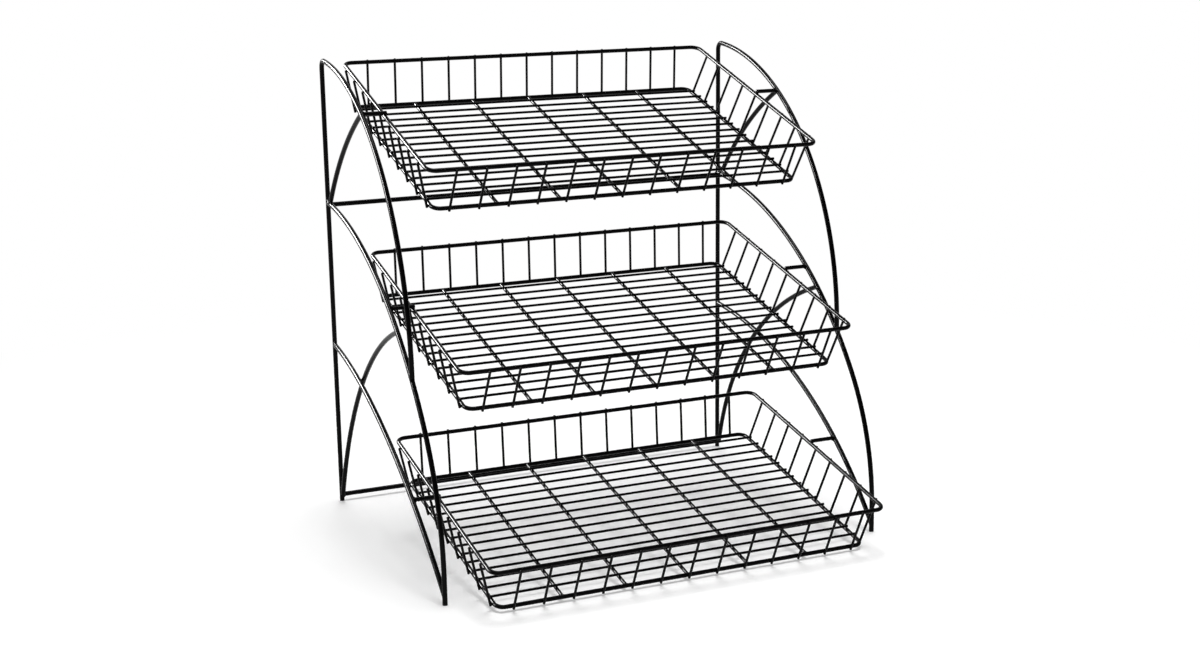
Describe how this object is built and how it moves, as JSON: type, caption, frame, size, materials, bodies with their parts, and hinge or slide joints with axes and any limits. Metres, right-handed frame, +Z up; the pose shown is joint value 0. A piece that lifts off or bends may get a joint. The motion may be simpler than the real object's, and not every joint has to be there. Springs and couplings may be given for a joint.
{
  "type": "bakery bread rack",
  "caption": "Free-standing wire rack with three shallow wire baskets tipped down at the front between two bent side frames, for bread and rolls.",
  "frame": {"origin": "on the floor, at the middle of the rack's outline", "axes": "+X right seen from the front, +Y to the rear, +Z up"},
  "size_m": [0.6026, 0.5284, 0.6099],
  "materials": {
    "frame_wire": "gloss black powder coat on round steel wire",
    "basket_wire": "gloss black powder coat on round steel wire"
  },
  "bodies": {
    "root": {"left_upright_and_top_arc": "frame_wire", "left_front_leg": "frame_wire", "left_lower_arc": "frame_wire", "left_upper_brace": "frame_wire", "left_lower_brace": "frame_wire", "left_top_peg": "frame_wire", "left_middle_peg": "frame_wire", "left_bottom_peg": "frame_wire", "right_upright_and_top_arc": "frame_wire", "right_front_leg": "frame_wire", "right_lower_arc": "frame_wire", "right_upper_brace": "frame_wire", "right_lower_brace": "frame_wire", "right_top_peg": "frame_wire", "right_middle_peg": "frame_wire", "right_bottom_peg": "frame_wire", "upper_crossbar": "frame_wire", "lower_crossbar": "frame_wire", "top_basket_rim": "basket_wire", "top_basket_bottom_rail": "basket_wire", "top_basket_floor_wires": "basket_wire", "top_basket_ribs": "basket_wire", "top_basket_back_wall": "basket_wire", "top_basket_front_wall": "basket_wire", "top_basket_left_wall": "basket_wire", "top_basket_right_wall": "basket_wire", "middle_basket_rim": "basket_wire", "middle_basket_bottom_rail": "basket_wire", "middle_basket_floor_wires": "basket_wire", "middle_basket_ribs": "basket_wire", "middle_basket_back_wall": "basket_wire", "middle_basket_front_wall": "basket_wire", "middle_basket_left_wall": "basket_wire", "middle_basket_right_wall": "basket_wire", "bottom_basket_rim": "basket_wire", "bottom_basket_bottom_rail": "basket_wire", "bottom_basket_floor_wires": "basket_wire", "bottom_basket_ribs": "basket_wire", "bottom_basket_back_wall": "basket_wire", "bottom_basket_front_wall": "basket_wire", "bottom_basket_left_wall": "basket_wire", "bottom_basket_right_wall": "basket_wire"}
  },
  "joints": []
}
